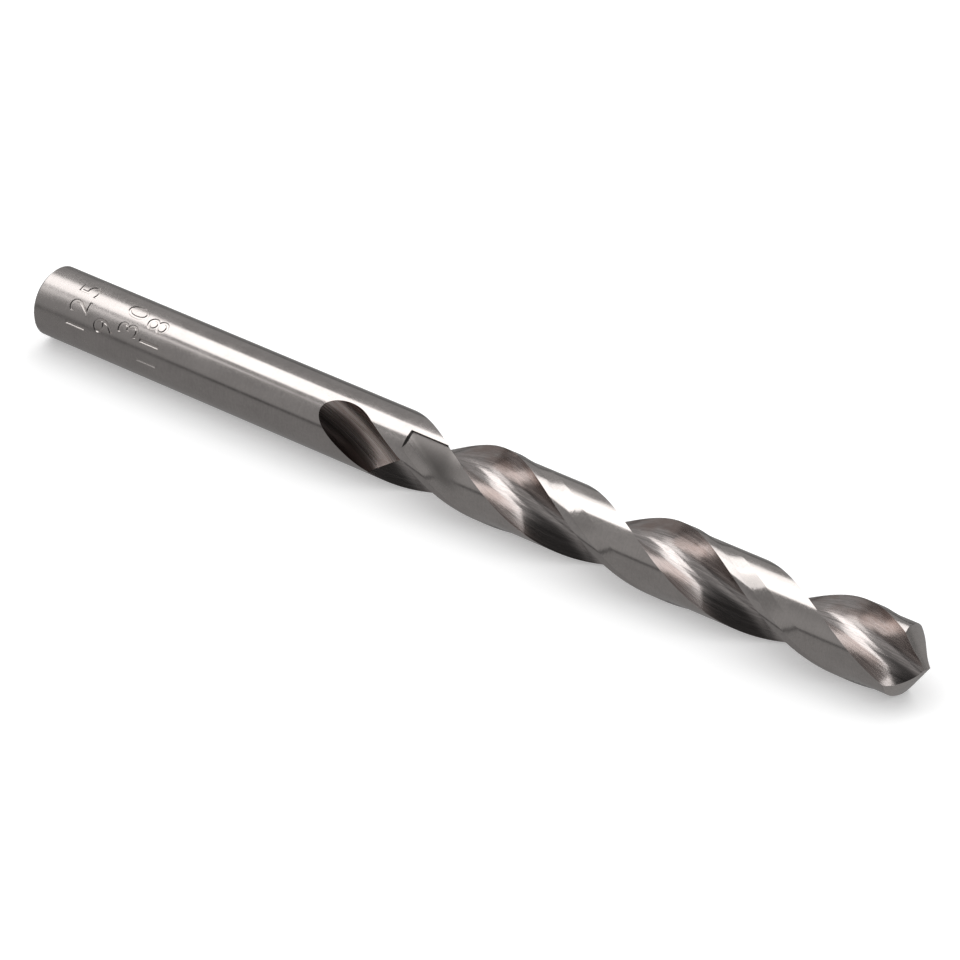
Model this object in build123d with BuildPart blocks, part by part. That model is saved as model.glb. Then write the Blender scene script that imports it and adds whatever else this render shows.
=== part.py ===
from build123d import *
from math import cos, pi, radians, sin, sqrt, tan
import os

# Twist drill bit: a straight round shank and two right-hand helical flutes, ground from one bar.
# The bit lies along X. The origin is the centre of the shank's end face, and +X runs to the point.
# Sizes are in millimetres and degrees. Angles round the axis start at the first leading edge and
# grow the way the bit turns in its work, so a land lies at the negative angles behind its edge.

# Overall
diameter = 9.0  # at the point
shank_diameter = 8.96  # the fluted part tapers back to it
overall_length = 125.0
flute_length = 81.0  # from the point to where the run-outs leave the shank
helix_angle = 30.0
shank_end_chamfer = 0.4
lip_turn = 281.0  # turn of the first lip about X, from +Y, as the bit lies

# Flute and land, as a section across the bit
web_thickness = 1.4
hollow_radius = 2.2  # at the foot of the rake face
hollow_sweep = 76.0  # how far the hollow turns before the flute's back begins
land_angle = 83.0
margin_width = 1.0
relief_depth = 0.25  # of the grinding behind the margin

# Run-out: the footprint of a disc cutter that lifts out of the shank
cutter_radius = 12.0
cutter_nose_radius = 2.8
cutter_tilt = 27.0  # slope of the disc against the bit's axis
cutter_lift_angle = 17.0  # the way that it lifts, from the leading edge
cutter_offset = 2.0  # of the disc's middle, from the line of its lift
cutter_core = 0.65  # how near its rim comes to the axis

# Where the finished surfaces start, past the lowest place of the run-out
flute_start = 3.0
flute_start_slope = 55.0  # of the crease across the flute's floor
relief_start = 3.6
relief_landing = 36.5  # strip of the land, at its heel, that the relief misses as it starts

# Point: each flank is part of a cone whose tip stands behind the axis and ahead of the lip
point_angle = 118.0
grinding_cone_angle = 80.0
cone_setback = 5.0
cone_lead = 1.5

radius = diameter / 2
lead = pi * diameter / tan(radians(helix_angle))
overshoot = 1.0  # how far the cutting shapes reach past the bar
margin_angle = 360 * margin_width / (pi * diameter)
flute_angle = 180 - land_angle
half_cone = grinding_cone_angle / 2
cone_lean = point_angle / 2 - half_cone


def flank_depth(along):
    """Depth of a flank below its cone's tip, at a place along the lip."""
    reach = along + cone_setback
    lean = radians(cone_lean)
    spread = cos(radians(half_cone)) ** 2
    square = cos(lean) ** 2 - spread
    linear = 2 * reach * sin(lean) * cos(lean)
    constant = (reach * sin(lean)) ** 2 - spread * (reach**2 + cone_lead**2)
    return (sqrt(linear**2 - 4 * square * constant) - linear) / (2 * square)


corner_depth = flank_depth(radius)
lip_station = overall_length - (corner_depth - flank_depth(0))


def station(place):
    """Plane across the bit, whose own x axis runs to the first leading edge."""
    turn = radians(lip_turn + 360 * (place - lip_station) / lead)
    return Plane(origin=(place, 0, 0), x_dir=(0, cos(turn), sin(turn)), z_dir=(1, 0, 0))


def slanted(plane, slope):
    """The same plane turned to the way that the cutter lifts, then sloped as a flute runs."""
    return Plane(plane.location * Rot(0, 0, cutter_lift_angle) * Rot(-slope, 0, 0))


def polar(distance, angle):
    return (distance * cos(radians(angle)), distance * sin(radians(angle)))


def helical_sweep(section, start, end, mode=Mode.ADD):
    """Sweep a section along the bit, turning with the flutes."""
    with BuildLine() as route:
        Line((start, 0, 0), (end, 0, 0))
    with BuildLine() as guide:
        Helix(lead, end - start, radius, center=(start, 0, 0), direction=(1, 0, 0))
    sweep(sections=section, path=route.line, binormal=guide.wires()[0], mode=mode)


upward = (Align.CENTER, Align.CENTER, Align.MIN)
shank_length = overall_length - flute_length
blank_length = overall_length + overshoot
past_point = blank_length + overshoot

# The disc cutter, at the lowest place of its footprint.
cutter_cut = radius - cutter_core
cutter_reach = sqrt(cutter_cut * (2 * cutter_radius - cutter_cut))
cutter_station = shank_length + cutter_reach
cutter_plane = slanted(station(cutter_station), cutter_tilt)
nose_centre = cutter_core + cutter_nose_radius
spindle = cutter_core + cutter_radius
with BuildPart() as run_out:
    with BuildSketch(cutter_plane) as disc_section:
        with BuildLine():
            nose = CenterArc((nose_centre, cutter_offset), cutter_nose_radius, 90, 180)
            Polyline(
                nose @ 0,
                (spindle, cutter_offset + cutter_nose_radius),
                (spindle, cutter_offset - cutter_nose_radius),
                nose @ 1,
            )
        make_face()
    revolve(axis=Axis(cutter_plane.from_local_coords((spindle, 0, 0)), cutter_plane.y_dir))

# One flute: rake face, hollow, and the back that rises to the next land's heel and on past it.
flute_station = cutter_station + flute_start
sweep_start = flute_station - (radius + overshoot) * tan(radians(flute_start_slope))
corner_reach = sqrt((web_thickness / 2 + hollow_radius) ** 2 - hollow_radius**2)
heel = polar(radius - relief_depth, flute_angle)
past_heel = 1.5  # how far the back's arc goes on, against its length up to the heel
with BuildPart() as flute:
    with BuildSketch(station(sweep_start)) as flute_section:
        with BuildLine():
            hollow = CenterArc((corner_reach, hollow_radius), hollow_radius, 270, -hollow_sweep)
            to_heel = TangentArc(hollow @ 1, heel, tangent=hollow % 1, mode=Mode.PRIVATE)
            back = TangentArc(hollow @ 1, to_heel @ past_heel, tangent=hollow % 1)
            outside = (radius + overshoot, 0)
            ThreePointArc(back @ 1, polar(radius + 2 * overshoot, flute_angle / 2), outside)
            Line(outside, hollow @ 0)
        make_face()
    helical_sweep(flute_section.sketch, sweep_start, past_point)
    split(bisect_by=slanted(station(flute_station), flute_start_slope), keep=Keep.TOP)

# The relief of both lands: a ring, less the margins and the strips that the grinding misses.
relief_station = cutter_station + relief_start
into_flute = 5.0
with BuildPart() as relief:
    with BuildSketch(station(relief_station)):
        Circle(radius + overshoot)
        Circle(radius - relief_depth, mode=Mode.SUBTRACT)
    extrude(amount=past_point - relief_station)
    with BuildSketch(station(relief_station - overshoot)) as margins:
        with BuildLine():
            inner = CenterArc((0, 0), radius - 2 * relief_depth, into_flute, -margin_angle - into_flute)
            outer = CenterArc((0, 0), radius + 2 * overshoot, into_flute, -margin_angle - into_flute)
            Line(inner @ 0, outer @ 0)
            Line(inner @ 1, outer @ 1)
        make_face()
        add(margins.sketch.rotate(Axis.Z, 180))
    helical_sweep(margins.sketch, relief_station - overshoot, past_point + overshoot, Mode.SUBTRACT)
    with BuildSketch(station(relief_station)) as missed:
        with BuildLine():
            Polyline(
                (0, 0),
                polar(diameter, relief_landing - land_angle),
                polar(diameter, -into_flute - land_angle),
                close=True,
            )
        make_face()
        add(missed.sketch.rotate(Axis.Z, 180))
    extrude(amount=lead * (relief_landing + into_flute) / 360, mode=Mode.SUBTRACT)

# What the grinding of the point leaves: the space inside both cones.
lip_location = station(lip_station).location
cone_place = Pos(-cone_setback, cone_lead, corner_depth) * Rot(0, -cone_lean, 0)
cone_height = 3 * diameter
cone_foot = cone_height * tan(radians(half_cone))
downward = (Align.CENTER, Align.CENTER, Align.MAX)
with BuildPart() as point:
    with Locations(lip_location * cone_place):
        Cone(cone_foot, 0, cone_height, align=downward)
    with Locations(lip_location * Rot(0, 0, 180) * cone_place):
        Cone(cone_foot, 0, cone_height, align=downward, mode=Mode.INTERSECT)

with BuildPart() as point_waste:
    with BuildSketch(station(lip_station - radius)):
        Circle(radius + overshoot)
    extrude(amount=past_point - lip_station + radius)
    add(point.part, mode=Mode.SUBTRACT)

with BuildPart() as drill_bit:
    with Locations(Plane.YZ):
        Cylinder(shank_diameter / 2, shank_length, align=upward)
    chamfer(drill_bit.edges().sort_by(Axis.X)[0], shank_end_chamfer)
    with Locations(Plane.YZ.offset(shank_length)):
        Cone(shank_diameter / 2, radius, blank_length - shank_length, align=upward)
    add(relief.part, mode=Mode.SUBTRACT)
    for tool in (flute, run_out):
        add(tool.part, mode=Mode.SUBTRACT)
        add(tool.part.rotate(Axis.X, 180), mode=Mode.SUBTRACT)
    add(point_waste.part, mode=Mode.SUBTRACT)

drill_bit.part.label = "drill_bit"
os.makedirs("parts", exist_ok=True)
export_step(drill_bit.part, "parts/drill_bit.step")
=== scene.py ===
"""A twist drill bit: a ground and stamped steel bit that lies on a pale studio floor.

The bit is made as a tool grinder makes it. A round blank is turned, then the lands are relieved,
the flutes and their run-outs are cut, the size is stamped into the shank and the point is ground.
Each cut leaves its own finish on the steel. Sizes are in metres and angles in radians.
"""

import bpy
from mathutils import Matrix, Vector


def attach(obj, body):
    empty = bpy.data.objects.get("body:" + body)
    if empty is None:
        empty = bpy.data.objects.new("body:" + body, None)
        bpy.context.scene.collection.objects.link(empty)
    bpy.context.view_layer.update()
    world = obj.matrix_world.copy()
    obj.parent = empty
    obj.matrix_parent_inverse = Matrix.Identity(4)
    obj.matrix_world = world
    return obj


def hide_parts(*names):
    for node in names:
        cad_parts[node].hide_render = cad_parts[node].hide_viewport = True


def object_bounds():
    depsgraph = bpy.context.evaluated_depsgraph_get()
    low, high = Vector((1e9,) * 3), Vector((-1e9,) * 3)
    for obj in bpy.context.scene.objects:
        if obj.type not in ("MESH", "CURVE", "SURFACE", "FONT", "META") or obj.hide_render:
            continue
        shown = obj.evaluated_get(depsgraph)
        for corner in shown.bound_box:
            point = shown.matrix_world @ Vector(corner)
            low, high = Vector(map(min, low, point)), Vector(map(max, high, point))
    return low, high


bl_info = {
    "name": "Twist Drill Bit",
    "version": (1, 0, 0),
    "blender": (4, 5, 0),
    "location": "View3D > Sidebar > Drill Bit",
    "description": "Grinds, stamps and lights a twist drill bit",
    "category": "Add Mesh",
}

from math import atan2, ceil, cos, degrees, pi, radians, sin, sqrt, tan
from typing import NamedTuple

import bmesh
import bpy
from mathutils import Matrix, Vector

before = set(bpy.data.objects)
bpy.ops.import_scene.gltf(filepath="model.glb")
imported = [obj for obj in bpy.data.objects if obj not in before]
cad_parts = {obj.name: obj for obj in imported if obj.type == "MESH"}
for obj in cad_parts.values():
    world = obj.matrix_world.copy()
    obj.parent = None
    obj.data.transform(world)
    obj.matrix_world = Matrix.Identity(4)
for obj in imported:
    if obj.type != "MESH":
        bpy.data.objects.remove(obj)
cad_low, cad_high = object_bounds()

MM = 0.001
BIT_NODE = "drill_bit"

# How far tools reach past the steel that they cut, along a line and round the axis
OVERSHOOT = 1 * MM
SPARE_TURN = radians(5)

# The back of a flute runs on past the heel, by this share of its own turn
BACK_OVERRUN = 1.5

# A flank cone is wide at the point, so it has this many times the sides of the blank
FLANK_FINENESS = 4

# Corners nearer to each other than this are one, and edges sharper than this stay sharp
WELD_DISTANCE = 0.001 * MM
SHARP_EDGE = radians(28)

# Into how many steps the outlines of the blank and the tools are divided
BODY_RINGS = 8
NOSE_STEPS = 40
RAKE_STEPS = 10
HOLLOW_STEPS = 24
BACK_STEPS = 24
OPENING_STEPS = 12
RELIEF_STEPS = 36


# Settings ---------------------------------------------------------------------------------


def length(name, description, millimetres):
    return bpy.props.FloatProperty(
        name=name,
        description=description,
        default=millimetres * MM,
        unit="LENGTH",
        precision=5,
    )


def angle(name, description, value):
    return bpy.props.FloatProperty(
        name=name,
        description=description,
        default=radians(value),
        subtype="ANGLE",
        unit="ROTATION",
    )


def level(name, description, value):
    return bpy.props.FloatProperty(name=name, description=description, default=value, min=0)


def colour(name, description, rgb):
    return bpy.props.FloatVectorProperty(
        name=name,
        description=description,
        default=rgb,
        subtype="COLOR",
        size=3,
        min=0,
        max=1,
    )


class DrillBitSizes(bpy.types.PropertyGroup):
    """Sizes of the bit, as its maker would give them"""

    diameter: length("Diameter", "Over the margins, at the point", 9.0)
    shank_diameter: length("Shank diameter", "Of the plain shank", 8.96)
    overall_length: length("Overall length", "From the shank's end to the point", 125.0)
    flute_length: length("Flute length", "From the point to where the run-outs leave", 81.0)
    helix_angle: angle("Helix angle", "Of the margins against the axis", 30.0)
    shank_end_chamfer: length("Shank end chamfer", "Round the rim of the end face", 0.4)
    lip_turn: angle("Lip turn", "How the first lip is turned about the axis", 281.0)
    web_thickness: length("Web thickness", "Between the two flutes' rake faces", 1.4)
    hollow_radius: length("Hollow radius", "At the foot of the rake face", 2.2)
    hollow_sweep: angle("Hollow sweep", "Turn of the hollow, up to the flute's back", 76.0)
    land_angle: angle("Land angle", "Width of a land round the axis", 83.0)
    margin_width: length("Margin width", "Of the full-diameter strip at the edge", 1.0)
    relief_depth: length("Relief depth", "Ground off behind the margin", 0.25)
    margin_slope: length("Margin slope", "Width of the slope behind the margin", 1.8)
    cutter_radius: length("Cutter radius", "Of the disc that leaves the run-out", 12.0)
    cutter_nose_radius: length("Cutter nose radius", "Round the rim of the disc", 2.8)
    cutter_tilt: angle("Cutter tilt", "Of the disc against the bit's axis", 27.0)
    cutter_lift_angle: angle("Cutter lift angle", "The way the disc lifts out", 17.0)
    cutter_offset: length("Cutter offset", "Of the disc from the line of its lift", 2.0)
    cutter_core: length("Cutter core", "How near the rim comes to the axis", 0.65)
    flute_start: length("Flute start", "Finished flute, past the disc's lowest place", 3.0)
    flute_start_slope: angle("Flute start slope", "Of the crease in the flute's floor", 55.0)
    relief_start: length("Relief start", "Of the lands, past the disc's lowest place", 3.6)
    relief_run_in: length("Relief run-in", "Length of the slope where the relief starts", 0.3)
    relief_landing: angle("Relief landing", "Strip at the heel that the relief misses", 36.5)
    point_angle: angle("Point angle", "Between the lips", 118.0)
    grinding_cone_angle: angle("Grinding cone", "Full angle of the cone of a flank", 80.0)
    cone_setback: length("Cone setback", "Of a flank cone's tip behind the axis", 5.0)
    cone_lead: length("Cone lead", "Of a flank cone's tip ahead of the lip", 1.5)

    @property
    def radius(self):
        return self.diameter / 2

    @property
    def shank_length(self):
        return self.overall_length - self.flute_length

    @property
    def lead(self):
        """Length of one whole turn of a flute"""
        return pi * self.diameter / tan(self.helix_angle)

    @property
    def margin_angle(self):
        return self.margin_width / self.radius

    @property
    def flute_angle(self):
        return pi - self.land_angle

    @property
    def relieved_radius(self):
        return self.radius - self.relief_depth

    @property
    def cutter_station(self):
        """Where the disc comes nearest to the axis"""
        depth = self.radius - self.cutter_core
        return self.shank_length + sqrt(depth * (2 * self.cutter_radius - depth))

    @property
    def relief_station(self):
        return self.cutter_station + self.relief_start

    @property
    def cone_lean(self):
        return self.point_angle / 2 - self.grinding_cone_angle / 2

    @property
    def corner_depth(self):
        return self.flank_depth(self.radius)

    @property
    def lip_station(self):
        """Where the outer corners of the lips are"""
        return self.overall_length - (self.corner_depth - self.flank_depth(0))

    def flank_depth(self, along):
        """Depth of a flank below its cone's tip, at a place along the lip"""
        reach = along + self.cone_setback
        spread = cos(self.grinding_cone_angle / 2) ** 2
        square = cos(self.cone_lean) ** 2 - spread
        linear = reach * sin(2 * self.cone_lean)
        constant = (reach * sin(self.cone_lean)) ** 2 - spread * (reach**2 + self.cone_lead**2)
        return (sqrt(linear**2 - 4 * square * constant) - linear) / (2 * square)

    def station(self, place):
        """Frame across the bit, whose x axis runs to the first leading edge"""
        turn = self.lip_turn + 2 * pi * (place - self.lip_station) / self.lead
        along = Vector((1, 0, 0))
        outward = Vector((0, cos(turn), sin(turn)))
        return axes(outward, along.cross(outward), along, (place, 0, 0))

    def slanted(self, place, slope):
        """The frame turned to the way that the disc lifts, then sloped as a flute runs"""
        lift = Matrix.Rotation(self.cutter_lift_angle, 4, "Z")
        return self.station(place) @ lift @ Matrix.Rotation(-slope, 4, "X")


class DrillBitFinish(bpy.types.PropertyGroup):
    """Colours and grinding of the steel, its stamps, and how finely it is divided"""

    steel: colour("Steel", "Ground steel of the shank and the margins", (0.63, 0.585, 0.565))
    land_steel: colour("Land steel", "Brighter steel of the relieved lands", (0.70, 0.65, 0.625))
    flute_steel: colour("Flute steel", "Warmer steel of the flutes", (0.68, 0.625, 0.605))
    flank_steel: colour("Flank steel", "Bright steel of the point", (0.88, 0.82, 0.785))
    scored_steel: colour("Scored steel", "Bright scores of the run-outs", (0.92, 0.83, 0.79))
    scored_brown: colour("Scored brown", "Brown between the scores", (0.60, 0.47, 0.43))
    tempered: colour("Tempered", "Brown that the heat of grinding leaves", (0.42, 0.32, 0.285))
    # Painted shade: a near-black colour for the wall on one side of a run-out, where shade falls
    painted_shade_wall: colour("Burnt", "Wall that the cutter scorched as it left", (0.12, 0.10, 0.095))
    end_roughness: level("End roughness", "At the shank's end", 0.26)
    neck_roughness: level("Neck roughness", "Of the shank, towards the flutes", 0.16)
    land_roughness: level("Land roughness", "Of the relieved lands", 0.16)
    flute_roughness: level("Flute roughness", "Of the flutes", 0.21)
    run_out_roughness: level("Run-out roughness", "Of the floor of a run-out", 0.28)
    stamp_roughness: level("Stamp roughness", "Of the stamped grooves", 0.25)
    flank_roughness: level("Flank roughness", "Of the point", 0.22)
    shank_marks: length("Shank marks", "Depth of the marks on the shank", 0.0012)
    land_marks: length("Land marks", "Depth of the marks on the lands", 0.0016)
    flute_marks: length("Flute marks", "Depth of the lines along a flute", 0.004)
    run_out_marks: length("Run-out marks", "Depth of the scores in a run-out", 0.012)
    stamp_marks: length("Stamp marks", "Depth of the marks in the stamped grooves", 0.001)
    flank_marks: length("Flank marks", "Depth of the marks on the point", 0.002)
    stamp_depth: length("Stamp depth", "Of the stamped figures", 0.1)
    stamp_size: length("Stamp size", "Of the lettering of the stamps", 4.3)
    stamp_spacing: level("Stamp spacing", "Of the figures, against the font's own", 1.15)
    stamp_slice: length("Stamp slice", "Between the bends of a stamp", 0.12)
    stamp_thinning: length("Stamp thinning", "Taken off each side of a stroke", 0.09)
    helix_step: length("Helix step", "Along the axis, between sections of a helix", 0.25)
    rim_sides: bpy.props.IntProperty(
        name="Rim sides", description="Sides of the turned blank", default=256, min=32
    )


class StudioSettings(bpy.types.PropertyGroup):
    """Floor, light and camera"""

    floor_colour: colour("Floor", "Pale floor", (0.9, 0.9, 0.9))
    floor_roughness: level("Floor roughness", "Of the pale floor", 0.9)
    floor_light: level("Floor light", "Brightness that the fill adds to the floor", 0.72)
    floor_glow: level("Floor glow", "Light of the floor itself, which thins the shadow", 0.32)
    room_light: level("Room light", "Brightness of the room over the bench", 0.30)
    bench_light: level("Bench light", "Brightness that the bit sees below it", 0.235)
    horizon_shade: level("Horizon shade", "How much darker the far edge of the bench is", 0.7)
    dim_light: level("Dim light", "Brightness of the dim side of the room", 0.03)
    dim_side: bpy.props.FloatVectorProperty(
        name="Dim side",
        description="The way to the dim side of the room",
        default=(0.6, -0.4, 0.7),
        subtype="DIRECTION",
        size=3,
    )
    box_height: length("Box height", "Of the soft boxes over the floor", 1000.0)
    lens: bpy.props.FloatProperty(
        name="Lens", description="Focal length in millimetres", default=151.8, min=1
    )
    camera_place: bpy.props.FloatVectorProperty(
        name="Camera place",
        description="Where the camera stands",
        default=(0.290893, -0.307451, 0.269701),
        subtype="TRANSLATION",
        unit="LENGTH",
        size=3,
    )
    camera_aim: bpy.props.FloatVectorProperty(
        name="Camera aim",
        description="The way that the camera looks",
        default=(-0.483720, 0.657870, -0.577254),
        subtype="DIRECTION",
        size=3,
    )


# Mesh helpers -----------------------------------------------------------------------------


def axes(x_axis, y_axis, z_axis, origin):
    """Frame with these axes at this origin"""
    frame_matrix = Matrix((x_axis, y_axis, z_axis)).transposed().to_4x4()
    frame_matrix.translation = Vector(origin)
    return frame_matrix


def polar(distance, turn):
    return Vector((distance * cos(turn), distance * sin(turn), 0))


def of_kind(kind, items):
    return [item for item in items if isinstance(item, kind)]


def everything(bm):
    return bm.verts[:] + bm.edges[:] + bm.faces[:]


class Outline:
    """A closed outline on the XY plane, drawn with lines and arcs"""

    def __init__(self, bm, start):
        self.bm = bm
        self.first = self.last = bm.verts.new(start)

    def line(self, end, steps=1):
        step = (Vector(end) - self.last.co) / steps
        for _ in range(steps):
            made = bmesh.ops.extrude_vert_indiv(self.bm, verts=[self.last])
            self.last = made["verts"][0]
            bmesh.ops.translate(self.bm, vec=step, verts=[self.last])

    def arc(self, centre, turn, steps):
        made = bmesh.ops.spin(
            self.bm,
            geom=[self.last],
            cent=centre,
            axis=(0, 0, 1),
            angle=turn,
            steps=steps,
        )
        self.last = of_kind(bmesh.types.BMVert, made["geom_last"])[0]

    def close(self):
        self.bm.edges.new((self.last, self.first))
        return bmesh.ops.contextual_create(self.bm, geom=self.bm.edges[:])["faces"]


def turned(bm, centre, axis, sides):
    """Spin a profile right round an axis and weld its seam and its poles"""
    bmesh.ops.spin(
        bm,
        geom=bm.edges[:] + bm.verts[:],
        cent=centre,
        axis=axis,
        angle=2 * pi,
        steps=sides,
        use_merge=True,
    )
    bmesh.ops.remove_doubles(bm, verts=bm.verts, dist=WELD_DISTANCE)


def helix(bm, faces, sizes, start, end, step):
    """Sweep faces, drawn on the XY plane, from one station to another with the flutes' twist"""
    bmesh.ops.transform(bm, matrix=sizes.station(start), verts=bm.verts)
    steps = ceil((end - start) / step)
    bmesh.ops.spin(
        bm,
        geom=faces + bm.edges[:] + bm.verts[:],
        cent=(0, 0, 0),
        axis=(1, 0, 0),
        dvec=((end - start) / steps, 0, 0),
        angle=2 * pi * (end - start) / sizes.lead,
        steps=steps,
    )


def solid(name, bm, finish):
    """Object from a closed bmesh, with its faces outwards"""
    bmesh.ops.recalc_face_normals(bm, faces=bm.faces)
    mesh = bpy.data.meshes.new(name)
    bm.to_mesh(mesh)
    bm.free()
    mesh.materials.append(finish)
    made = bpy.data.objects.new(name, mesh)
    bpy.context.collection.objects.link(made)
    return made


def opposite(tool):
    """Copy of a tool on the other side of the bit"""
    twin = tool.copy()
    twin.data = tool.data.copy()
    twin.data.transform(Matrix.Rotation(pi, 4, "X"))
    bpy.context.collection.objects.link(twin)
    return twin


def cut(piece, tools, operation="DIFFERENCE"):
    """Cut a piece with solid tools, which are used up, and keep their finishes on the cuts"""
    for tool in tools:
        modifier = piece.modifiers.new(tool.name, "BOOLEAN")
        modifier.operation = operation
        modifier.solver = "MANIFOLD"
        modifier.object = tool
        modifier.material_mode = "TRANSFER"
    bpy.context.view_layer.update()
    shape = bpy.data.meshes.new_from_object(
        piece.evaluated_get(bpy.context.evaluated_depsgraph_get())
    )
    piece.modifiers.clear()
    piece.data = shape
    for tool in tools:
        bpy.data.objects.remove(tool)


# The blank and the grinding tools -----------------------------------------------------------


def blank(sizes, sides, steel):
    """The turned blank: a plain shank with a chamfered rim, and a body that widens to the point"""
    bm = bmesh.new()
    shank_radius = sizes.shank_diameter / 2
    chamfer = sizes.shank_end_chamfer
    blank_length = sizes.overall_length + OVERSHOOT
    profile = Outline(bm, (0, 0, 0))
    profile.line((shank_radius - chamfer, 0, 0))
    profile.line((shank_radius, chamfer, 0))
    profile.line((shank_radius, sizes.shank_length, 0), BODY_RINGS)
    profile.line((sizes.radius, blank_length, 0), BODY_RINGS)
    profile.line((0, blank_length, 0))
    upright = axes((0, 1, 0), (1, 0, 0), (0, 0, -1), (0, 0, 0))
    bmesh.ops.transform(bm, matrix=upright, verts=bm.verts)
    turned(bm, (0, 0, 0), (1, 0, 0), sides)
    return solid("ground_bit", bm, steel)


def disc_cutter(sizes, sides, steel):
    """The disc whose footprint is the run-out of a flute"""
    bm = bmesh.new()
    nose = sizes.cutter_nose_radius
    middle = sizes.cutter_offset
    spindle = sizes.cutter_core + sizes.cutter_radius
    profile = Outline(bm, (spindle, middle + nose, 0))
    profile.line((sizes.cutter_core + nose, middle + nose, 0))
    profile.arc((sizes.cutter_core + nose, middle, 0), pi, NOSE_STEPS)
    profile.line((spindle, middle - nose, 0))
    turned(bm, (spindle, 0, 0), (0, 1, 0), sides)
    plane = sizes.slanted(sizes.cutter_station, sizes.cutter_tilt)
    bmesh.ops.transform(bm, matrix=plane, verts=bm.verts)
    return solid("disc_cutter", bm, steel)


def flute_section(bm, sizes, outside):
    """Section of a flute: its rake face, its hollow, and the back that rises to the next heel"""
    hollow = sizes.hollow_radius
    foot = sqrt((sizes.web_thickness / 2 + hollow) ** 2 - hollow**2)
    section = Outline(bm, (outside, 0, 0))
    section.line((foot, 0, 0), RAKE_STEPS)
    section.arc((foot, hollow, 0), -sizes.hollow_sweep, HOLLOW_STEPS)
    hollow_end = section.last.co.copy()
    inward = (hollow_end - Vector((foot, hollow, 0))).normalized()
    chord = polar(sizes.relieved_radius, sizes.flute_angle) - hollow_end
    centre = hollow_end + inward * chord.length_squared / (2 * inward.dot(chord))
    to_heel = 2 * atan2(inward.dot(chord), inward.cross(chord).length)
    section.arc(centre, BACK_OVERRUN * to_heel, BACK_STEPS)
    end_turn = atan2(section.last.co.y, section.last.co.x)
    section.line(section.last.co.normalized() * (outside + OVERSHOOT))
    section.arc((0, 0, 0), -end_turn, OPENING_STEPS)
    return section.close()


def flute_grinder(sizes, step, steel):
    """The space of one flute, which starts at a slanting crease"""
    bm = bmesh.new()
    outside = sizes.radius + OVERSHOOT
    section = flute_section(bm, sizes, outside)
    crease = sizes.cutter_station + sizes.flute_start
    first = crease - outside * tan(sizes.flute_start_slope)
    helix(bm, section, sizes, first, sizes.overall_length + 2 * OVERSHOOT, step)
    plane = sizes.slanted(crease, sizes.flute_start_slope)
    bmesh.ops.recalc_face_normals(bm, faces=bm.faces)
    parted = bmesh.ops.bisect_plane(
        bm,
        geom=everything(bm),
        plane_co=plane.translation,
        plane_no=plane.col[2].to_3d(),
        clear_inner=True,
    )
    rim = of_kind(bmesh.types.BMEdge, parted["geom_cut"])
    bmesh.ops.contextual_create(bm, geom=rim)
    return solid("flute_grinder", bm, steel)


def relief_grinder(sizes, sides, step, steel):
    """The band that is ground off behind one margin, less the strip that the grinding misses"""
    bm = bmesh.new()
    first = sizes.relief_station - 2 * OVERSHOOT
    past_heel = sizes.land_angle + SPARE_TURN
    foot = sizes.margin_angle + sizes.margin_slope / sizes.radius
    section = Outline(bm, polar(sizes.relieved_radius, -foot))
    section.arc((0, 0, 0), foot - past_heel, RELIEF_STEPS)
    section.line(polar(sizes.radius + OVERSHOOT, -past_heel))
    section.arc((0, 0, 0), past_heel - sizes.margin_angle, RELIEF_STEPS)
    section.line(polar(sizes.radius, -sizes.margin_angle))
    helix(bm, section.close(), sizes, first, sizes.overall_length + 2 * OVERSHOOT, step)
    band = solid("relief_grinder", bm, steel)
    cut(band, [missed_strip(sizes, steel), run_in_cone(sizes, sides, steel)])
    return band


def missed_strip(sizes, steel):
    """A straight strip at the heel, which the relief misses where it begins"""
    bm = bmesh.new()
    section = Outline(bm, (0, 0, 0))
    section.line(polar(sizes.diameter, sizes.relief_landing - sizes.land_angle))
    section.line(polar(sizes.diameter, -sizes.land_angle - 2 * SPARE_TURN))
    section = section.close()
    bmesh.ops.transform(bm, matrix=sizes.station(sizes.relief_station), verts=bm.verts)
    bmesh.ops.translate(bm, vec=(-3 * OVERSHOOT, 0, 0), verts=bm.verts)
    made = bmesh.ops.extrude_face_region(bm, geom=section)
    run = 3 * OVERSHOOT + sizes.lead * (sizes.relief_landing + SPARE_TURN) / (2 * pi)
    moved = of_kind(bmesh.types.BMVert, made["geom"])
    bmesh.ops.translate(bm, vec=(run, 0, 0), verts=moved)
    return solid("missed_strip", bm, steel)


def run_in_cone(sizes, sides, steel):
    """A cone round the bit, which leaves a slope where the relief begins"""
    bm = bmesh.new()
    slope = sizes.relief_run_in / sizes.relief_depth
    depth = sizes.diameter * slope
    bmesh.ops.create_cone(
        bm, cap_ends=True, segments=sides, radius1=sizes.diameter, radius2=0, depth=depth
    )
    bmesh.ops.remove_doubles(bm, verts=bm.verts, dist=WELD_DISTANCE)
    tip = sizes.relief_station + sizes.relieved_radius * slope
    middle = Matrix.Translation((tip - depth / 2, 0, 0))
    bmesh.ops.transform(bm, matrix=middle @ Matrix.Rotation(pi / 2, 4, "Y"), verts=bm.verts)
    return solid("run_in_cone", bm, steel)


class Stamp(NamedTuple):
    """Figures in a row round the shank: how far their tops are from its end, and their middle"""

    text: str
    millimetres: float
    degrees: float


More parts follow.
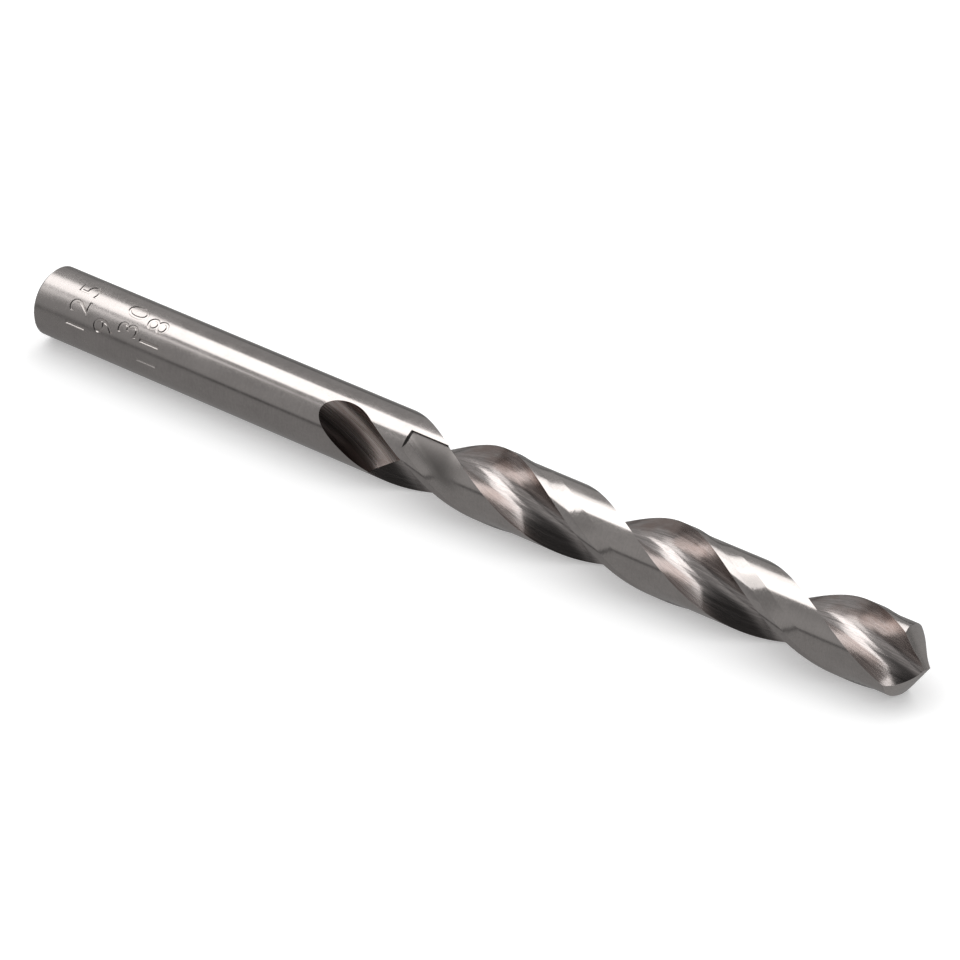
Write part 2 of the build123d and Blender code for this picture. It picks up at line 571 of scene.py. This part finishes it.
def stamped_figures(sizes, looks, stamp, steel):
    """Figures bent round the shank, their tops towards its end, to be cut into it"""
    lettering = bpy.data.curves.new("figures", "FONT")
    lettering.body = stamp.text
    lettering.size = looks.stamp_size
    lettering.align_x = "CENTER"
    lettering.align_y = "TOP"
    lettering.bevel_depth = looks.stamp_depth
    lettering.bevel_resolution = 0
    lettering.offset = -looks.stamp_thinning
    lettering.space_character = looks.stamp_spacing
    drawn = bpy.data.objects.new("figures", lettering)
    bm = bmesh.new()
    bm.from_mesh(drawn.to_mesh())
    drawn.to_mesh_clear()
    bpy.data.objects.remove(drawn)
    bmesh.ops.remove_doubles(bm, verts=bm.verts, dist=WELD_DISTANCE)
    reach = max(abs(vert.co.x) for vert in bm.verts)
    slices = ceil(reach / looks.stamp_slice)
    for place in range(-slices, slices + 1):
        bmesh.ops.bisect_plane(
            bm,
            geom=everything(bm),
            plane_co=(place * looks.stamp_slice, 0, 0),
            plane_no=(1, 0, 0),
        )
    shank_radius = sizes.shank_diameter / 2
    for vert in bm.verts:
        turn = radians(stamp.degrees) - vert.co.x / shank_radius
        away = shank_radius + vert.co.z
        vert.co = (stamp.millimetres * MM - vert.co.y, away * cos(turn), away * sin(turn))
    return solid("figures", bm, steel)


def flank_cone(sizes, sides, steel):
    """The cone whose surface is one flank of the point. What lies inside it stays."""
    bm = bmesh.new()
    height = 2 * sizes.overall_length
    bmesh.ops.create_cone(
        bm,
        cap_ends=True,
        segments=sides,
        radius1=height * tan(sizes.grinding_cone_angle / 2),
        radius2=0,
        depth=height,
    )
    bmesh.ops.remove_doubles(bm, verts=bm.verts, dist=WELD_DISTANCE)
    tip = Vector((-sizes.cone_setback, sizes.cone_lead, sizes.corner_depth))
    place = sizes.station(sizes.lip_station) @ Matrix.Translation(tip)
    place = place @ Matrix.Rotation(-sizes.cone_lean, 4, "Y")
    place = place @ Matrix.Translation((0, 0, -height / 2))
    bmesh.ops.transform(bm, matrix=place, verts=bm.verts)
    return solid("flank_cone", bm, steel)


# Shader tools -------------------------------------------------------------------------------


class Noise(NamedTuple):
    """How often a noise changes along each axis, in marks to the millimetre, and its grain"""

    marks: tuple
    detail: float = 3.0
    roughness: float = 0.6


class Wire:
    """A socket that can be added, subtracted and multiplied, as a number can"""

    def __init__(self, finish, socket):
        self.finish = finish
        self.socket = socket

    def maths(self, operation, *others):
        return self.finish.maths(operation, self, *others)

    def __add__(self, other):
        return self.maths("ADD", other)

    def __sub__(self, other):
        return self.maths("SUBTRACT", other)

    def __mul__(self, other):
        return self.maths("MULTIPLY", other)

    def __rsub__(self, other):
        return self.finish.maths("SUBTRACT", other, self)

    __radd__ = __add__
    __rmul__ = __mul__


def shade(value):
    """What a colour socket takes: a wire, or the four numbers of a colour"""
    return value if isinstance(value, Wire) else (*value, 1)


def grey(value):
    return (value, value, value)


def darker(tint, share):
    return tuple(value * share for value in tint)


class Finish:
    """A material or a sky, built node by node"""

    def __init__(self, owner):
        self.owner = owner
        owner.use_nodes = True
        self.tree = owner.node_tree
        self.tree.nodes.clear()

    def node(self, kind, settings=None, output=0, **values):
        """Add a node, apply its settings, then set or link its sockets by name or number"""
        made = self.tree.nodes.new("ShaderNode" + kind)
        for name, value in (settings or {}).items():
            setattr(made, name, value)
        for name, value in values.items():
            key = int(name[1:]) if name[1:].isdigit() else name.replace("_", " ")
            if isinstance(value, Wire):
                self.tree.links.new(value.socket, made.inputs[key])
            else:
                made.inputs[key].default_value = value
        return Wire(self, made.outputs[output]) if made.outputs else made

    def other(self, wire, output):
        """Another output of the node that a wire comes from"""
        return Wire(self, wire.socket.node.outputs[output])

    def maths(self, operation, *values):
        sockets = {f"_{number}": value for number, value in enumerate(values)}
        return self.node("Math", {"operation": operation}, **sockets)

    def dot(self, first, second):
        return self.node("VectorMath", {"operation": "DOT_PRODUCT"}, 1, _0=first, _1=second)

    def blend(self, share, first, second):
        """Colour that goes from the first to the second as the share rises"""
        return self.node(
            "Mix", {"data_type": "RGBA"}, 2, _0=share, _6=shade(first), _7=shade(second)
        )

    def stain(self, first, second):
        """Two colours multiplied"""
        settings = {"data_type": "RGBA", "blend_type": "MULTIPLY"}
        return self.node("Mix", settings, 2, _0=1, _6=shade(first), _7=shade(second))

    def smooth(self, value, low, high, start=0.0, end=1.0):
        """Smooth step of a value between two levels"""
        return self.node(
            "MapRange",
            {"interpolation_type": "SMOOTHSTEP"},
            Value=value,
            From_Min=low,
            From_Max=high,
            To_Min=start,
            To_Max=end,
        )

    def band(self, value, low, high, edge):
        """One between two levels and nothing beyond them, with soft edges"""
        rise = self.smooth(value, low - edge, low + edge)
        return rise * self.smooth(value, high - edge, high + edge, 1, 0)

    def place(self):
        """Place on the piece"""
        return self.node("TexCoord", None, "Object")

    def untwisted(self, sizes):
        """Place on the piece with the twist of the flutes taken out of it"""
        along = self.node("SeparateXYZ", None, "X", Vector=self.place())
        across, up = self.other(along, "Y"), self.other(along, "Z")
        turn = (along - sizes.lip_station) * (2 * pi / sizes.lead) + sizes.lip_turn
        cosine, sine = self.maths("COSINE", turn), self.maths("SINE", turn)
        ahead = across * cosine + up * sine
        aside = up * cosine - across * sine
        return self.node("CombineXYZ", None, 0, X=along, Y=ahead, Z=aside)

    def seen_by_disc(self, sizes):
        """Place in the frame of the disc that cut the run-out on this side of the bit"""
        plane = sizes.slanted(sizes.cutter_station, sizes.cutter_tilt)
        place = self.place()
        outward = sizes.station(sizes.cutter_station).col[0].to_3d()
        side = self.maths("SIGN", self.dot(place, outward))
        along = self.node("SeparateXYZ", None, "X", Vector=place)
        across, up = self.other(along, "Y") * side, self.other(along, "Z") * side
        near = self.node("CombineXYZ", None, 0, X=along, Y=across, Z=up)
        from_disc = self.node(
            "VectorMath", {"operation": "SUBTRACT"}, _0=near, _1=plane.translation
        )
        lift, wide, sweep = [self.dot(from_disc, axis.to_3d()) for axis in plane.col[:3]]
        return self.node("CombineXYZ", None, 0, X=lift, Y=wide, Z=sweep), wide

    def stretched(self, place, noise):
        """Noise drawn out along the axes on which it has few marks"""
        scale = [item / MM for item in noise.marks]
        vector = self.node("VectorMath", {"operation": "MULTIPLY"}, _0=place, _1=scale)
        return self.node(
            "TexNoise",
            None,
            0,
            Vector=vector,
            Scale=1,
            Detail=noise.detail,
            Roughness=noise.roughness,
        )

    def sway(self, noise, amount):
        """A noise round nought, to roughen and to smooth a finish by turns"""
        return (noise - NOISE_MIDDLE) * amount

    def steel(self, tint, roughness, height):
        """Close a steel material from its colour, its roughness and its height in metres"""
        relief = self.node("Bump", None, 0, Strength=1, Distance=1, Height=height)
        surface = self.node(
            "BsdfPrincipled",
            None,
            0,
            Base_Color=tint,
            Metallic=1,
            Roughness=roughness,
            Normal=relief,
        )
        self.node("OutputMaterial", Surface=surface)
        return self.owner


# Steel finishes -----------------------------------------------------------------------------

NOISE_MIDDLE = 0.5

# Turned steel: shares of its marks in its tone, the levels that the tone spreads between, how
# dark it gets, and how much the marks sway its roughness
RINGS = Noise((9, 0.5, 0.5), detail=4)
SPECKLE = Noise((3.5, 3.5, 3.5), detail=4, roughness=0.7)
CLOUD = Noise((0.25, 0.5, 0.5))
RING_SHARE = 0.25
SPECKLE_SHARE = 0.35
CLOUD_SHARE = 0.4
TURNED_TONES = (0.36, 0.62)
TURNED_DARK = 0.86
CLOUD_SWAY = 0.12
SPECKLE_SWAY = 0.1

# The shank reaches its finer finish at this share of its length
NECK_START = 0.8

# The dull patch of a land beside the heel, which is rougher and darkened with painted shade that
# dims its reflection: how far it goes along the bit from where the relief begins, how far ahead of
# the axis it goes towards the margin, how dark the painted shade makes the steel, and how much
# rougher it gets
DULL_SHADE_LENGTH = (5 * MM, 9 * MM)
DULL_SHADE_WIDTH = (3.0 * MM, 4.1 * MM)
PAINTED_SHADE_SHARE = 0.5
DULL_ROUGHNESS = 0.35

# Flutes: lines and grain that follow them, and a rake face browned in patches
FLUTE_LINES = Noise((0.12, 4, 4), detail=4, roughness=0.65)
FLUTE_GRAIN = Noise((1.2, 10, 10))
HEAT = Noise((0.16, 0.35, 0.35))
LINE_SHARE = 0.6
GRAIN_SHARE = 0.4
FLUTE_TONES = (0.38, 0.6)
FLUTE_DARK = 0.72
LINE_SWAY = 0.25
HEAT_TONES = (0.4, 0.62)
HEAT_SHARE = 0.7
RAKE_FACE = (1.4 * MM, 3.2 * MM)
HEAT_OF_HOLLOW = 0.1

# Run-outs: scores along the sweep of the disc, and painted shade that darkens the wall on one side
# of its rim
SCORES = Noise((0.1, 5, 0.1), detail=4, roughness=0.7)
SCORE_CLOUD = Noise((0.3, 1.2, 0.2))
SCORE_SHARE = 0.7
SCORE_CLOUD_SHARE = 0.3
SCORE_TONES = (0.4, 0.62)
SCORE_SWAY = 0.3
PAINTED_SHADE_WALL = (0.9 * MM, 2.0 * MM)


def turned_steel(finish, tint, roughness, mark_depth):
    """Steel ground as it turns, with faint rings and a fine speckle"""
    place = finish.place()
    rings = finish.stretched(place, RINGS)
    speckle = finish.stretched(place, SPECKLE)
    cloud = finish.stretched(place, CLOUD)
    marks = rings * RING_SHARE + speckle * SPECKLE_SHARE + cloud * CLOUD_SHARE
    tone = finish.blend(finish.smooth(marks, *TURNED_TONES), grey(TURNED_DARK), grey(1))
    gloss = roughness + finish.sway(cloud, CLOUD_SWAY) + finish.sway(speckle, SPECKLE_SWAY)
    return finish.steel(finish.stain(tint, tone), gloss, (rings + speckle) * (mark_depth / 2))


def shank_steel(name, sizes, tint, end_roughness, neck_roughness, mark_depth):
    """Turned steel whose roughness may change from the shank's end to its neck"""
    finish = Finish(bpy.data.materials.new(name))
    along = finish.node("SeparateXYZ", None, "X", Vector=finish.place())
    neck = NECK_START * sizes.shank_length
    roughness = finish.smooth(along, 0, neck, end_roughness, neck_roughness)
    return turned_steel(finish, tint, roughness, mark_depth)


def land_steel(name, sizes, looks):
    """Turned steel, rougher beside the heel where its relief begins, and darkened there with
    painted shade that dims its reflection
    """
    finish = Finish(bpy.data.materials.new(name))
    along = finish.node("SeparateXYZ", None, "X", Vector=finish.untwisted(sizes))
    past_start = along - sizes.relief_station
    ahead = finish.maths("ABSOLUTE", finish.other(along, "Y"))
    dull_and_shaded = finish.smooth(past_start, *DULL_SHADE_LENGTH, 1, 0) * finish.smooth(ahead, *DULL_SHADE_WIDTH, 1, 0)
    # Painted shade: the land's tint is darkened over the dull patch, to dim the reflection there
    tint = finish.blend(dull_and_shaded, looks.land_steel, darker(looks.land_steel, PAINTED_SHADE_SHARE))
    roughness = looks.land_roughness + dull_and_shaded * DULL_ROUGHNESS
    return turned_steel(finish, tint, roughness, looks.land_marks)


def flute_steel(name, sizes, looks):
    """Steel ground along a flute, with fine lines that follow it and a face browned by heat"""
    finish = Finish(bpy.data.materials.new(name))
    place = finish.untwisted(sizes)
    lines = finish.stretched(place, FLUTE_LINES)
    grain = finish.stretched(place, FLUTE_GRAIN)
    marks = lines * LINE_SHARE + grain * GRAIN_SHARE
    deep = darker(looks.flute_steel, FLUTE_DARK)
    ground = finish.blend(finish.smooth(marks, *FLUTE_TONES), deep, looks.flute_steel)
    patches = finish.smooth(finish.stretched(place, HEAT), *HEAT_TONES, 0, HEAT_SHARE)
    ahead = finish.maths("ABSOLUTE", finish.node("SeparateXYZ", None, "Y", Vector=place))
    heat = patches * finish.smooth(ahead, *RAKE_FACE, HEAT_OF_HOLLOW, 1)
    tint = finish.blend(heat, ground, looks.tempered)
    gloss = looks.flute_roughness + finish.sway(lines, LINE_SWAY)
    return finish.steel(tint, gloss, marks * looks.flute_marks)


def run_out_steel(name, sizes, looks):
    """Brown floor scored by the rim of the disc, with painted shade darkening the wall on the side
    that it left by
    """
    finish = Finish(bpy.data.materials.new(name))
    place, wide = finish.seen_by_disc(sizes)
    scores = finish.stretched(place, SCORES)
    marks = scores * SCORE_SHARE + finish.stretched(place, SCORE_CLOUD) * SCORE_CLOUD_SHARE
    tone = finish.smooth(marks, *SCORE_TONES)
    ground = finish.blend(tone, looks.scored_brown, looks.scored_steel)
    # Painted shade: the wall on one side of the disc's rim is darkened nearly to black
    wall = finish.smooth(wide - sizes.cutter_offset, *PAINTED_SHADE_WALL)
    tint = finish.blend(wall, ground, looks.painted_shade_wall)
    gloss = looks.run_out_roughness + finish.sway(scores, SCORE_SWAY)
    return finish.steel(tint, gloss, scores * looks.run_out_marks)


# The studio ---------------------------------------------------------------------------------


class SoftBox(NamedTuple):
    """A lamp that faces down. Its place and size are shares of its height over the floor."""

    name: str
    place: tuple
    size: tuple
    brightness: float
    degrees: float = 0


SOFT_BOXES = (
    SoftBox("long_box", place=(-0.60, 0.13), size=(0.68, 0.76), brightness=1.65),
    SoftBox("left_box", place=(-1.25, -0.67), size=(1.1, 0.5), brightness=1.05, degrees=38),
    SoftBox("back_box", place=(0.0, 1.5), size=(1.15, 2.4), brightness=1.35),
)
FILL_SIZE = (3, 3)

FLOOR_REACH = 3
FLOOR_GAP = 0.01 * MM
SENSOR_WIDTH = 36
FARTHEST_SEEN = 20

# Heights, as parts of a direction one long: where the room takes over from the bench, the
# middle and the edges of the shaded horizon, and how squarely the dim side is faced
ROOM_RISE = (-0.05, 0.1)
HORIZON = (-0.05, 0.05)
HORIZON_EDGE = 0.04
DIM_EDGE = (0.4, 0.8)


# Operators ------------------------------------------------------------------------------------


class DRILLBIT_OT_grind(bpy.types.Operator):
    """Turn the blank, grind its lands and flutes, stamp it and point it"""

    bl_idname = "drillbit.grind"
    bl_label = "Grind the Bit"

    def execute(self, context):
        sizes = context.scene.drill_bit_sizes
        looks = context.scene.drill_bit_finish
        bit = self.turn(sizes, looks)
        self.flute(bit, sizes, looks)
        self.stamp(bit, sizes, looks)
        self.point(bit, sizes, looks)
        bit.data.polygons.foreach_set("use_smooth", [True] * len(bit.data.polygons))
        bit.data.set_sharp_from_angle(angle=SHARP_EDGE)
        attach(bit, "root")
        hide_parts(BIT_NODE)
        return {"FINISHED"}

    def turn(self, sizes, looks):
        steel = shank_steel(
            "ground_shank",
            sizes,
            looks.steel,
            looks.end_roughness,
            looks.neck_roughness,
            looks.shank_marks,
        )
        return blank(sizes, looks.rim_sides, steel)

    def flute(self, bit, sizes, looks):
        """Relieve the lands, then cut the flutes and their run-outs"""
        sides = looks.rim_sides
        step = looks.helix_step
        relief = relief_grinder(sizes, sides, step, land_steel("relieved_land", sizes, looks))
        flute = flute_grinder(sizes, step, flute_steel("ground_flute", sizes, looks))
        cutter = disc_cutter(sizes, sides, run_out_steel("run_out_floor", sizes, looks))
        cut(bit, [relief, opposite(relief), flute, opposite(flute), cutter, opposite(cutter)])

    def stamp(self, bit, sizes, looks):
        """Stamp the bit's own sizes, a row for each, into the shank"""
        roughness = looks.stamp_roughness
        steel = shank_steel(
            "stamped_groove", sizes, looks.land_steel, roughness, roughness, looks.stamp_marks
        )
        stamps = (
            Stamp(f"{sizes.overall_length / MM:.0f}", millimetres=4.9, degrees=133),
            Stamp(f"{sizes.diameter / MM:.0f}", millimetres=9.1, degrees=149),
            Stamp(f"{degrees(sizes.helix_angle):.0f}", millimetres=12.7, degrees=121),
            Stamp(f"{degrees(sizes.point_angle):.0f}", millimetres=16.2, degrees=146),
        )
        cut(bit, [stamped_figures(sizes, looks, stamp, steel) for stamp in stamps])

    def point(self, bit, sizes, looks):
        roughness = looks.flank_roughness
        steel = shank_steel(
            "point_flank", sizes, looks.flank_steel, roughness, roughness, looks.flank_marks
        )
        cone = flank_cone(sizes, FLANK_FINENESS * looks.rim_sides, steel)
        cut(bit, [cone, opposite(cone)], "INTERSECT")


class DRILLBIT_OT_studio(bpy.types.Operator):
    """Lay the floor, hang the lights and place the camera"""

    bl_idname = "drillbit.studio"
    bl_label = "Set Up the Studio"

    def execute(self, context):
        studio = context.scene.drill_bit_studio
        context.scene.view_settings.view_transform = "Standard"
        self.floor(studio)
        self.room(context, studio)
        for box in SOFT_BOXES:
            self.soft_box(studio, box)
        fill = SoftBox("floor_fill", (0, 0), FILL_SIZE, studio.floor_light)
        self.soft_box(studio, fill).visible_glossy = False
        self.camera(context, studio)
        return {"FINISHED"}

    def floor(self, studio):
        bm = bmesh.new()
        bmesh.ops.create_grid(bm, x_segments=1, y_segments=1, size=FLOOR_REACH)
        bmesh.ops.translate(bm, vec=(0, 0, cad_low.z - FLOOR_GAP), verts=bm.verts)
        finish = Finish(bpy.data.materials.new("pale_floor"))
        surface = finish.node(
            "BsdfPrincipled",
            None,
            0,
            Base_Color=shade(studio.floor_colour),
            Roughness=studio.floor_roughness,
            Emission_Color=shade(grey(1)),
            Emission_Strength=studio.floor_glow,
        )
        finish.node("OutputMaterial", Surface=surface)
        floor = solid("floor", bm, finish.owner)
        floor.visible_glossy = False

    def room(self, context, studio):
        """The room's own glow: darker below and at the horizon, and dim on one side"""
        world = bpy.data.worlds.new("studio")
        context.scene.world = world
        finish = Finish(world)
        way = finish.node("TexCoord")
        height = finish.node("SeparateXYZ", None, "Z", Vector=way)
        glow = finish.smooth(height, *ROOM_RISE, studio.bench_light, studio.room_light)
        glow = glow * (1 - studio.horizon_shade * finish.band(height, *HORIZON, HORIZON_EDGE))
        dim = finish.smooth(finish.dot(way, Vector(studio.dim_side).normalized()), *DIM_EDGE)
        strength = glow * (1 - dim) + dim * studio.dim_light
        background = finish.node("Background", Color=shade(grey(1)), Strength=strength)
        finish.node("OutputWorld", Surface=background)

    def soft_box(self, studio, box):
        lamp = bpy.data.lights.new(box.name, "AREA")
        lamp.shape = "RECTANGLE"
        lamp.size = box.size[0] * studio.box_height
        lamp.size_y = box.size[1] * studio.box_height
        lamp.energy = box.brightness * pi * lamp.size * lamp.size_y
        hung = bpy.data.objects.new(box.name, lamp)
        hung.rotation_euler.z = radians(box.degrees)
        hung.location = Vector((*box.place, 1)) * studio.box_height
        hung.visible_camera = False
        bpy.context.collection.objects.link(hung)
        return hung

    def camera(self, context, studio):
        aim = Vector(studio.camera_aim).normalized()
        right = aim.cross((0, 0, 1)).normalized()
        data = bpy.data.cameras.new("camera")
        data.lens = studio.lens
        data.sensor_width = SENSOR_WIDTH
        data.clip_end = FARTHEST_SEEN
        camera = bpy.data.objects.new("camera", data)
        camera.matrix_world = axes(right, right.cross(aim), -aim, studio.camera_place)
        context.collection.objects.link(camera)
        context.scene.camera = camera


class DRILLBIT_PT_panel(bpy.types.Panel):
    """Buttons and sizes of the drill bit"""

    bl_idname = "DRILLBIT_PT_panel"
    bl_label = "Drill Bit"
    bl_space_type = "VIEW_3D"
    bl_region_type = "UI"
    bl_category = "Drill Bit"

    def draw(self, context):
        scene = context.scene
        for operator in OPERATORS:
            self.layout.operator(operator.bl_idname)
        for settings in (scene.drill_bit_sizes, scene.drill_bit_finish, scene.drill_bit_studio):
            box = self.layout.box()
            for name in settings.__annotations__:
                box.prop(settings, name)


OPERATORS = (DRILLBIT_OT_grind, DRILLBIT_OT_studio)
SETTINGS = {
    "drill_bit_sizes": DrillBitSizes,
    "drill_bit_finish": DrillBitFinish,
    "drill_bit_studio": StudioSettings,
}


def register():
    for group in (*SETTINGS.values(), *OPERATORS, DRILLBIT_PT_panel):
        bpy.utils.register_class(group)
    for name, group in SETTINGS.items():
        setattr(bpy.types.Scene, name, bpy.props.PointerProperty(type=group))


def unregister():
    for name in SETTINGS:
        delattr(bpy.types.Scene, name)
    for group in (DRILLBIT_PT_panel, *reversed(OPERATORS), *SETTINGS.values()):
        bpy.utils.unregister_class(group)


def main():
    register()
    bpy.ops.drillbit.grind()
    bpy.ops.drillbit.studio()


if __name__ == "__main__":
    main()
